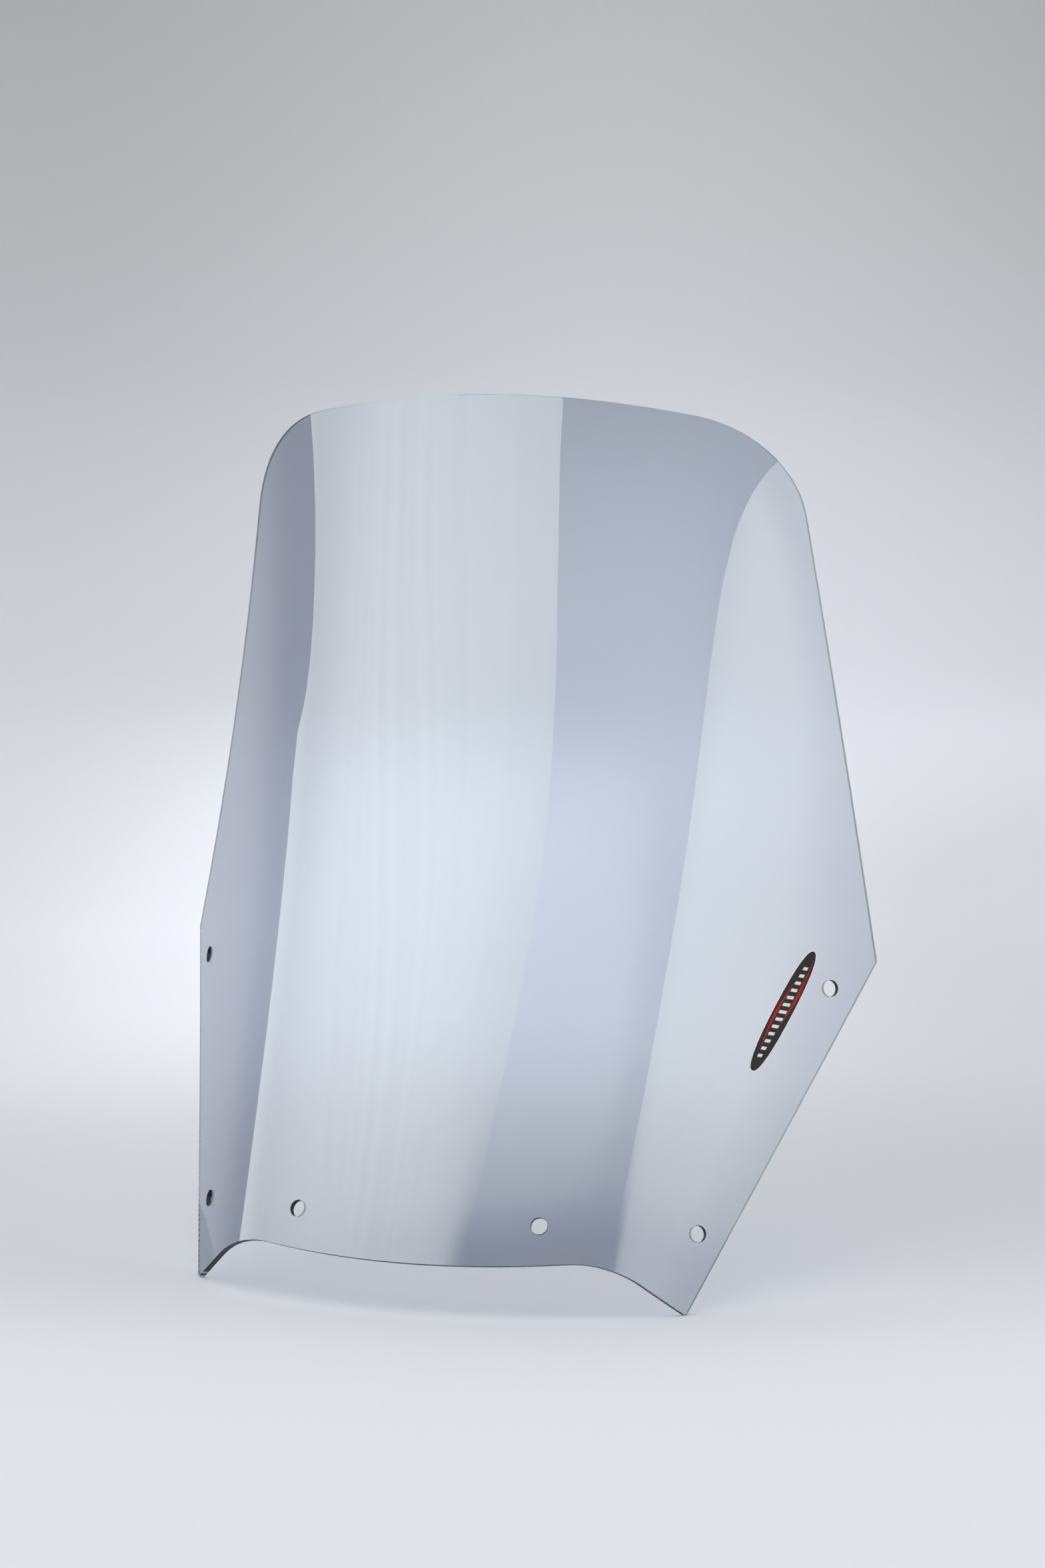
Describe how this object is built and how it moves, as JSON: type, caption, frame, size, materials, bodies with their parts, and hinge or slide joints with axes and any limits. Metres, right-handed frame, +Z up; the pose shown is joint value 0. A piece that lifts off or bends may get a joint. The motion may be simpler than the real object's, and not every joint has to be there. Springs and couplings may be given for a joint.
{
  "type": "motorcycle windshield screen",
  "caption": "Tall clear motorcycle windshield: one curved acrylic sheet with swept-back wings, pointed feet, plain fixing holes and an oval side badge.",
  "frame": {"origin": "midway between the two front fixing holes, on the sheet's outer face, in the plane of symmetry", "axes": "+Z up, -Y towards the front of the motorcycle, +X towards the rider's left; the screen leans back towards +Y"},
  "size_m": [0.424, 0.1933, 0.5],
  "materials": {
    "tinted_acrylic": "polished, very light blue-grey tint",
    "badge_film": "gloss film",
    "badge_print": "satin black print"
  },
  "bodies": {
    "root": {"screen_panel": "tinted_acrylic", "badge_film": "badge_film", "badge_print": "badge_print"}
  },
  "joints": []
}
